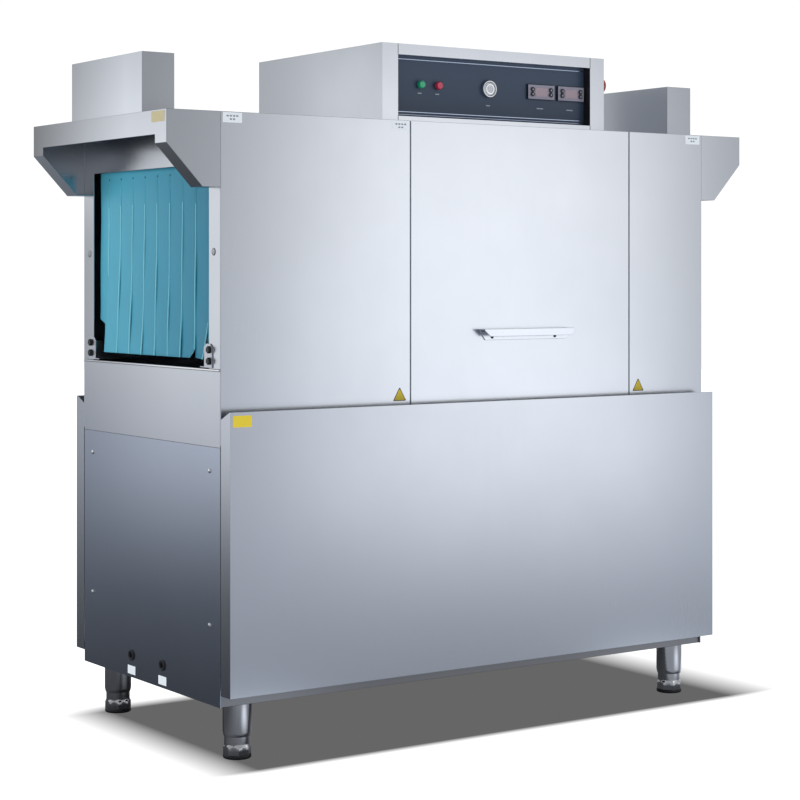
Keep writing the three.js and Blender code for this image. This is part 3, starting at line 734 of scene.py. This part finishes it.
def curtain(end, side):
    """One vinyl sheet, slit into strips below a plain band.

    Each strip is curled a little, so that its front edge stands out past its neighbour, and the strips lean
    outwards at their foot. Near the foot they hang between the brackets of the rack rails.
    """
    node = f"curtain_{end}"
    low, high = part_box(node)
    middle_x = (low.x + high.x) / 2
    foot = low.z + 1 * MM
    plan = strip_plan(low.y, high.y, random.Random(CURTAIN_SEEDS[end]))
    bm = bmesh.new()
    edge_highlights = bmesh.new()
    for index, strip in enumerate(plan):
        torn = index < 2
        tucked = 0.0 if index in (0, len(plan) - 1) else OVERLAP
        width = strip["stop"] - strip["start"]
        grid = []
        for row in range(STRIP_ROWS + 1):
            line = []
            for column in range(STRIP_COLUMNS + 1):
                across = 2 * column / STRIP_COLUMNS - 1
                share = column / STRIP_COLUMNS
                from_front = width * share
                bottom = foot + strip["short"] + strip["slant"] * share
                bottom += max(0.0, strip["corner"] - from_front)
                z = high.z + (bottom - high.z) * row / STRIP_ROWS
                drop = max(0.0, (SLIT_TOP - z) / (SLIT_TOP - foot))
                opened = min(1.0, drop * 7.0)
                y = strip["start"] + (width + tucked * opened) * share
                tear = max(0.0, (TEAR_TOP - z) / (TEAR_TOP - foot))
                curl = -across * strip["curl"] * opened
                outward = curl + strip["lean"] * drop ** 2.2
                outward += 0.0012 * math.sin(z * 27 + strip["start"] * 70) * drop
                along = strip["sway"] * drop ** 2.4
                if torn:
                    turn = strip["swing"] * tear ** 1.3
                    from_rear = strip["stop"] - y
                    outward += from_rear * math.sin(turn)
                    along += from_rear * (1 - math.cos(turn))
                limit = BETWEEN_BRACKETS if z < BRACKETS_TOP else high.y
                y = max(-limit, min(limit, y + along))
                line.append(bm.verts.new((middle_x + side * outward, y, z)))
            grid.append(line)
        for upper, lower in zip(grid, grid[1:]):
            for column in range(STRIP_COLUMNS):
                bm.faces.new([upper[column], upper[column + 1], lower[column + 1], lower[column]])
        if index:
            painted_edge_highlight(edge_highlights, [line[0].co for line in grid if line[0].co.z < SLIT_TOP - 0.06], side)
    bmesh.ops.remove_doubles(bm, verts=bm.verts, dist=0.05 * MM)
    sheet = add_object(f"curtain_strips_{end}", bm, "vinyl", node, smooth=True)
    skin = sheet.modifiers.new("thickness", "SOLIDIFY")
    skin.thickness = 2.2 * MM
    skin.offset = 0.0
    # The rim of each strip takes the pale material: a painted highlight along its cut edges.
    sheet.data.materials.append(MATERIALS["vinyl_edge_highlight"])
    skin.material_offset_rim = 1
    edge = sheet.modifiers.new("edge", "BEVEL")
    edge.width = 0.35 * MM
    edge.segments = 2
    edge.limit_method = "ANGLE"
    edge.angle_limit = math.radians(60)
    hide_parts(node)

    # Dark discs for the punched holes at the tops of the slits: painted shade of the dark tunnel seen through
    # them.
    bm = bmesh.new()
    for strip in plan[2:]:
        spot = (middle_x + side * 1.1 * MM, strip["start"], SLIT_TOP + 2 * MM)
        lathe(bm, [(0, 0), (2.2 * MM, 0), (2.2 * MM, 0.5 * MM), (0, 0.5 * MM)], spot, (side, 0, 0), 16)
    holes = add_object(f"curtain_holes_{end}", bm, "ink", node, smooth=True, crease=40)
    edges = add_object(f"curtain_cut_edges_{end}", edge_highlights, "vinyl_edge_highlight", node)


for end_name, end_side in ENDS:
    curtain(end_name, end_side)


# ------------------------------------------------------------------ control panel

WINDOW_LEFT = -0.163
WINDOW_RIGHT = 0.423
WINDOW_LOW = 1.4387
WINDOW_HIGH = 1.584


def window_details():
    """The trim lines and the dark lining of the box's window, and the seams above and below its sides."""
    low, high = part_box("control_box")
    front = low.y
    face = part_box("control_panel")[0].y

    bm = bmesh.new()
    trims = ((WINDOW_HIGH - 7.5 * MM, 2.6), (WINDOW_LOW + 12.5 * MM, 2.6), (WINDOW_LOW + 6.0 * MM, 1.8))
    for height, tall in trims:
        slab(
            bm,
            (WINDOW_LEFT + 0.4 * MM, face - 2.2 * MM, height - tall * MM / 2),
            (WINDOW_RIGHT - 0.4 * MM, face - 0.05 * MM, height + tall * MM / 2),
            0.5 * MM,
        )
    add_object("panel_trim", bm, "trim")

    bm = bmesh.new()
    for x, side in ((WINDOW_LEFT, 1), (WINDOW_RIGHT, -1)):
        near, far = sorted((x + side * 0.05 * MM, x + side * 0.85 * MM))
        slab(bm, (near, front + 1.2 * MM, WINDOW_LOW), (far, face - 0.2 * MM, WINDOW_HIGH), 0.2 * MM)
    add_object("window_lining", bm, "black")

    bm = bmesh.new()
    seams = ((WINDOW_HIGH, high.z - 0.6 * MM), (low.z + 0.6 * MM, WINDOW_LOW))
    for x in (WINDOW_LEFT, WINDOW_RIGHT):
        for bottom, top in seams:
            slab(bm, (x - 0.8 * MM, front - 0.12 * MM, bottom), (x + 0.8 * MM, front + 0.2 * MM, top))
    add_object("box_seams", bm, "ink")


def panel_marks():
    """Plain short dashes under the buttons and the controllers, where the panel carries its print."""
    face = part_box("control_panel")[0].y
    marks = [(-0.0835, 1.4975, 5.5), (-0.032, 1.4975, 5.5)]
    marks += [(0.1205, 1.477, 6.0), (0.282, 1.477, 10.0), (0.3765, 1.477, 10.0)]
    bm = bmesh.new()
    for x, z, half in marks:
        low = (x - half * MM, face - 0.2 * MM, z - 1.2 * MM)
        high = (x + half * MM, face - 0.02 * MM, z + 1.2 * MM)
        slab(bm, low, high)
    add_object("panel_marks", bm, "mark")


def controller_details():
    """The face and the display of each controller, and the round dots on its keys."""
    for index in (1, 2):
        low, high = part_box(f"controller_{index}")
        middle = (low.x + high.x) / 2
        bm = bmesh.new()
        slab(
            bm,
            (low.x + 1.0 * MM, low.y - 0.35 * MM, low.z + 1.0 * MM),
            (high.x - 1.0 * MM, low.y - 0.02 * MM, high.z - 1.0 * MM),
        )
        add_object(f"controller_face_{index}", bm, "lilac")
        bm = bmesh.new()
        slab(
            bm,
            (middle - 19 * MM, low.y - 0.85 * MM, low.z + 7.5 * MM),
            (middle + 19 * MM, low.y - 0.36 * MM, high.z - 7.5 * MM),
            0.2 * MM,
        )
        add_object(f"controller_display_{index}", bm, "display")
        for word in ("left", "right"):
            key_low, key_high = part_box(f"key_{index}_{word}")
            bm = bmesh.new()
            for share in (0.25, 0.75):
                height = key_low.z + (key_high.z - key_low.z) * share
                spot = ((key_low.x + key_high.x) / 2, key_low.y - 0.02 * MM, height)
                lathe(bm, dome_profile(2.0 * MM, 0.4 * MM, 3), spot, (0, -1, 0), 12)
            add_object(f"key_dots_{index}_{word}", bm, "mark", f"key_{index}_{word}", smooth=True)


def power_details():
    """A raised rim and a sunk centre on the power button, and a rounded lip over its chrome ring."""
    lip = [(17.2, 0.0), (21.0, 0.0), (20.8, 1.0), (19.8, 1.8), (18.4, 1.9), (17.4, 1.2), (17.2, 0.0)]
    bm = bmesh.new()
    turned_ring(bm, lip, middle_of_front("power_bezel"), (0, -1, 0), 40)
    add_object("power_lip", bm, "chrome", smooth=True, crease=50)

    ring = [(9.2, 0.0), (12.6, 0.0), (12.4, 0.7), (10.9, 1.0), (9.4, 0.7), (9.2, 0.0)]
    bm = bmesh.new()
    turned_ring(bm, ring, middle_of_front("power_button"), (0, -1, 0), 36)
    add_object("power_ring", bm, "bright", "power_button", smooth=True, crease=50)


def stop_collar():
    """The emergency stop's collar on the side of the control box."""
    low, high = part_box("e_stop_button")
    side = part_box("control_box")[1].x
    center = Vector((side, (low.y + high.y) / 2, (low.z + high.z) / 2))
    collar = [(8.6, 0.1), (17.0, 0.1), (17.0, 6.0), (15.5, 8.5), (13.5, 9.5), (8.6, 9.5), (8.6, 0.1)]
    bm = bmesh.new()
    turned_ring(bm, collar, center, (1, 0, 0), 36)
    add_object("stop_collar", bm, "black", smooth=True, crease=40)


window_details()
panel_marks()
controller_details()
power_details()
stop_collar()


# ------------------------------------------------------------------ rolled sills and handle screws


def sills():
    """The rolled top edge of each middle end panel, where racks come in and go out."""
    for end, side in ENDS:
        low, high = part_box(f"{end}_middle_panel")
        face = high.x if side > 0 else low.x
        near, far = sorted((face - side * 1.0 * MM, face + side * 2.4 * MM))
        bottom = (near, low.y, high.z - 5.0 * MM)
        top = (far, high.y, high.z + 0.2 * MM)
        bm = bmesh.new()
        slab(bm, bottom, top, radius=1.6 * MM, segments=3)
        add_object(f"sill_roll_{end}", bm, "bright", smooth=True, crease=60)


def handle_screws():
    """Two dark screws that hold the handle's back plate to the door."""
    low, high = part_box("door_handle")
    bm = bmesh.new()
    for share in (0.14, 0.84):
        spot = (low.x + (high.x - low.x) * share, high.y - 2.6 * MM, low.z + 7.0 * MM)
        lathe(bm, dome_profile(4.0 * MM, 2.4 * MM), spot, (0, -1, 0), 16)
    add_object("handle_screws", bm, "bolt", "door", smooth=True, crease=50)


sills()
handle_screws()


# ------------------------------------------------------------------ camera, floor and light

FOCAL = 92.55
AZIMUTH = 34.41
CAMERA_AT = (-2.901, -4.236, 1.067)
HORIZON_SHIFT = -0.1584
STUDIO_RADIUS = 18.0

# Where the painted shadow is full and where it has faded out, on the low and on the high side of the machine.
SHADOW_EDGES = {"X": ((-0.650, -0.815), (0.720, 0.950)), "Y": ((-0.415, -0.455), (0.300, 0.390))}

# Glow levels: of the sky at the horizon's height and overhead, and of the reflected floor near and far away.
SKY_LEVELS = (0.54, 0.38)
SKY_ENTRY_BOOST = 0.10
FRONT_FLOOR = (0.40, 0.66)
BACK_FLOOR = (0.09, 0.42)
REFLECTED_TINT = (0.90, 0.97, 1.09, 1)
SPOT_OFFSET = (0.22, -0.42)
SPOT_RADIUS = 0.26
SPOT_LEVEL = 1.3

# Panels of light: name, middle, the way it looks, width and height, and strength.
GLOW_CARDS = (
    ("glow_front", (1.20, -1.95, 1.10), (-0.5, 0.83, 0), (1.9, 2.5), 0.93),
    ("glow_entry", (-1.45, 0.65, 0.98), (0.5, -0.83, 0), (1.25, 1.7), 0.50),
    ("glow_box", (-0.98, 1.02, 1.52), (0.5, -0.73, 0), (0.44, 0.8), 0.52),
)


def make_camera():
    """A level camera a little above the work height, shifted down to take in the whole machine."""
    data = bpy.data.cameras.new("camera")
    data.sensor_width = 36.0
    data.lens = FOCAL
    data.shift_y = HORIZON_SHIFT
    data.clip_end = 100.0
    camera = bpy.data.objects.new("camera", data)
    camera.location = CAMERA_AT
    camera.rotation_euler = (math.radians(90), 0, -math.radians(AZIMUTH))
    bpy.context.scene.collection.objects.link(camera)
    bpy.context.scene.camera = camera


def stage_object(name, bm, material, seen_by):
    """A piece of the studio. seen_by lists the kinds of ray that meet it."""
    mesh = bpy.data.meshes.new(name)
    bm.to_mesh(mesh)
    bm.free()
    mesh.materials.append(material)
    obj = bpy.data.objects.new(name, mesh)
    bpy.context.scene.collection.objects.link(obj)
    for kind in ("camera", "diffuse", "glossy", "transmission", "volume_scatter", "shadow"):
        setattr(obj, f"visible_{kind}", kind in seen_by)
    return obj


def painted_shadow(tree):
    """A painted shadow: one on the part of the floor under the machine, falling softly to zero round it."""
    place = add(tree, "SeparateXYZ", {"Vector": object_point(tree)})
    levels = []
    for axis, edges in SHADOW_EDGES.items():
        for dark, pale in edges:
            levels.append(remap(tree, place.outputs[axis], 1.0, 0.0, dark, pale))
    total = levels[0]
    for level in levels[1:]:
        total = add(tree, "Math", {0: total, 1: level}, operation="MULTIPLY").outputs[0]
    return total


def emission_material(name, strength, color=(1, 1, 1, 1)):
    """A material that only glows. strength is called with the node tree and gives the glow's level."""
    material = bpy.data.materials.new(name)
    material.use_nodes = True
    tree = material.node_tree
    tree.nodes.clear()
    glow = add(tree, "Emission", {"Color": color, "Strength": strength(tree)})
    output = add(tree, "OutputMaterial")
    tree.links.new(glow.outputs[0], output.inputs["Surface"])
    return material


def floor():
    """A glowing white floor, with the machine's soft-edged shadow painted into its glow. Mirror-like surfaces
    see its dim twin instead.
    """
    material = emission_material("floor_white", lambda tree: remap(tree, painted_shadow(tree), 1.35, 0.133))
    bm = bmesh.new()
    bmesh.ops.create_circle(bm, cap_ends=True, segments=64, radius=STUDIO_RADIUS)
    plane = stage_object("floor", bm, material, ("camera", "diffuse", "shadow"))
    plane.location.z = -0.5 * MM


def backdrop():
    """A white dome round the set, which only the camera sees."""
    material = emission_material("backdrop_white", lambda tree: 1.05)
    bm = bmesh.new()
    bmesh.ops.create_uvsphere(bm, u_segments=48, v_segments=24, radius=STUDIO_RADIUS * 1.02)
    stage_object("backdrop", bm, material, ("camera",))


def leg_spots():
    """Bright spots on the reflected floor, one in front of each leg, which give the tubes long highlights."""
    for end, _ in ENDS:
        for face, _ in FACES:
            low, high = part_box(f"leg_{end}_{face}")
            center = (low + high) / 2
            yield (center.x + SPOT_OFFSET[0], center.y + SPOT_OFFSET[1], 0)


def reflected_level(tree):
    """The glow of the reflected floor: grey in front of the machine, dark close behind and under it."""
    point = add(tree, "TexCoord").outputs["Object"]
    distance = add(tree, "VectorMath", {0: point}, operation="LENGTH").outputs["Value"]
    toward_front = {0: point, 1: (0.5, -0.85, 0)}
    forward = add(tree, "VectorMath", toward_front, operation="DOT_PRODUCT").outputs["Value"]
    in_front = remap(tree, forward, 0.0, 1.0, -0.4, 0.6)
    front = remap(tree, distance, *FRONT_FLOOR, 1.0, 5.0)
    back = remap(tree, distance, *BACK_FLOOR, 1.0, 8.0)
    level = remap(tree, in_front, back, front)
    for spot in leg_spots():
        away = add(tree, "VectorMath", {0: point, 1: spot}, operation="DISTANCE").outputs["Value"]
        bright = remap(tree, away, SPOT_LEVEL, 0.0, 0.0, SPOT_RADIUS)
        level = add(tree, "Math", {0: level, 1: bright}, operation="ADD").outputs[0]
    lit = remap(tree, painted_shadow(tree), 1.0, 0.2)
    return add(tree, "Math", {0: level, 1: lit}, operation="MULTIPLY").outputs[0]


def gloss_floor():
    """What the steel reflects of the floor."""
    material = emission_material("floor_reflected", reflected_level, REFLECTED_TINT)
    bm = bmesh.new()
    bmesh.ops.create_circle(bm, cap_ends=True, segments=64, radius=STUDIO_RADIUS)
    plane = stage_object("floor_reflected", bm, material, ("glossy",))
    plane.location.z = -1.0 * MM


def glow_card(name, center, toward, size, strength):
    """A large soft panel of light that only mirror-like surfaces see. It fades towards its edges."""
    material = bpy.data.materials.new(name)
    material.use_nodes = True
    tree = material.node_tree
    tree.nodes.clear()
    point = add(tree, "TexCoord").outputs["Object"]
    place = add(tree, "SeparateXYZ", {"Vector": point})
    fades = []
    for axis, length in zip(("X", "Y"), size):
        away = add(tree, "Math", {0: place.outputs[axis]}, operation="ABSOLUTE").outputs[0]
        inputs = {"Value": away, "From Min": length / 2, "From Max": length * 0.16}
        fades.append(add(tree, "MapRange", inputs, interpolation_type="SMOOTHSTEP").outputs["Result"])
    both_fades = add(tree, "Math", {0: fades[0], 1: fades[1]}, operation="MULTIPLY").outputs[0]
    level = add(tree, "Math", {0: both_fades, 1: strength}, operation="MULTIPLY").outputs[0]
    glow = add(tree, "Emission", {"Color": (1, 1, 1, 1), "Strength": level}).outputs[0]
    clear = add(tree, "BsdfTransparent").outputs[0]
    both = add(tree, "AddShader", {0: glow, 1: clear}).outputs[0]
    output = add(tree, "OutputMaterial")
    tree.links.new(both, output.inputs["Surface"])
    bm = bmesh.new()
    bmesh.ops.create_grid(bm, x_segments=1, y_segments=1, size=0.5)
    bmesh.ops.scale(bm, vec=(size[0], size[1], 1), verts=bm.verts)
    card = stage_object(name, bm, material, ("glossy",))
    card.location = center
    card.rotation_euler = Vector(toward).to_track_quat("Z", "Y").to_euler()


def sky():
    """A soft pale sky: brightest at the horizon and behind the entry end, dimmer above."""
    world = bpy.data.worlds.new("studio")
    bpy.context.scene.world = world
    world.use_nodes = True
    tree = world.node_tree
    background = tree.nodes["Background"]
    direction = add(tree, "TexCoord").outputs["Generated"]
    height = add(tree, "SeparateXYZ", {"Vector": direction}).outputs["Z"]
    behind_entry = add(
        tree, "VectorMath", {0: direction, 1: (-0.565, 0.825, 0)}, operation="DOT_PRODUCT"
    ).outputs["Value"]
    by_height = remap(tree, height, *SKY_LEVELS)
    boost = remap(tree, behind_entry, 0.0, SKY_ENTRY_BOOST, 0.5, 1.0)
    level = add(tree, "Math", {0: by_height, 1: boost}, operation="ADD").outputs[0]
    tree.links.new(level, background.inputs["Strength"])
    background.inputs["Color"].default_value = (0.98, 1.0, 1.03, 1)


def overhead():
    """A sun almost straight above, which the steel doesn't mirror."""
    data = bpy.data.lights.new("overhead", "SUN")
    data.energy = 3.4
    data.angle = math.radians(2.5)
    light = bpy.data.objects.new("overhead", data)
    light.rotation_euler = (math.radians(-3.7), math.radians(-3.7), 0)
    light.visible_glossy = False
    bpy.context.scene.collection.objects.link(light)


def soft_light(name, location, target, size, power):
    """An area light for the parts that aren't mirror-like, such as the curtain and the plastics."""
    data = bpy.data.lights.new(name, "AREA")
    data.shape = "RECTANGLE"
    data.size, data.size_y = size
    data.energy = power
    light = bpy.data.objects.new(name, data)
    light.location = location
    direction = Vector(target) - Vector(location)
    light.rotation_euler = direction.to_track_quat("-Z", "Y").to_euler()
    light.visible_glossy = False
    bpy.context.scene.collection.objects.link(light)


make_camera()
floor()
backdrop()
gloss_floor()
for card in GLOW_CARDS:
    glow_card(*card)
soft_light("side_fill", (-2.4, 1.6, 1.7), (-0.69, 0.0, 1.1), (0.7, 0.7), 14)
sky()
overhead()
bpy.context.scene.view_settings.view_transform = "Standard"
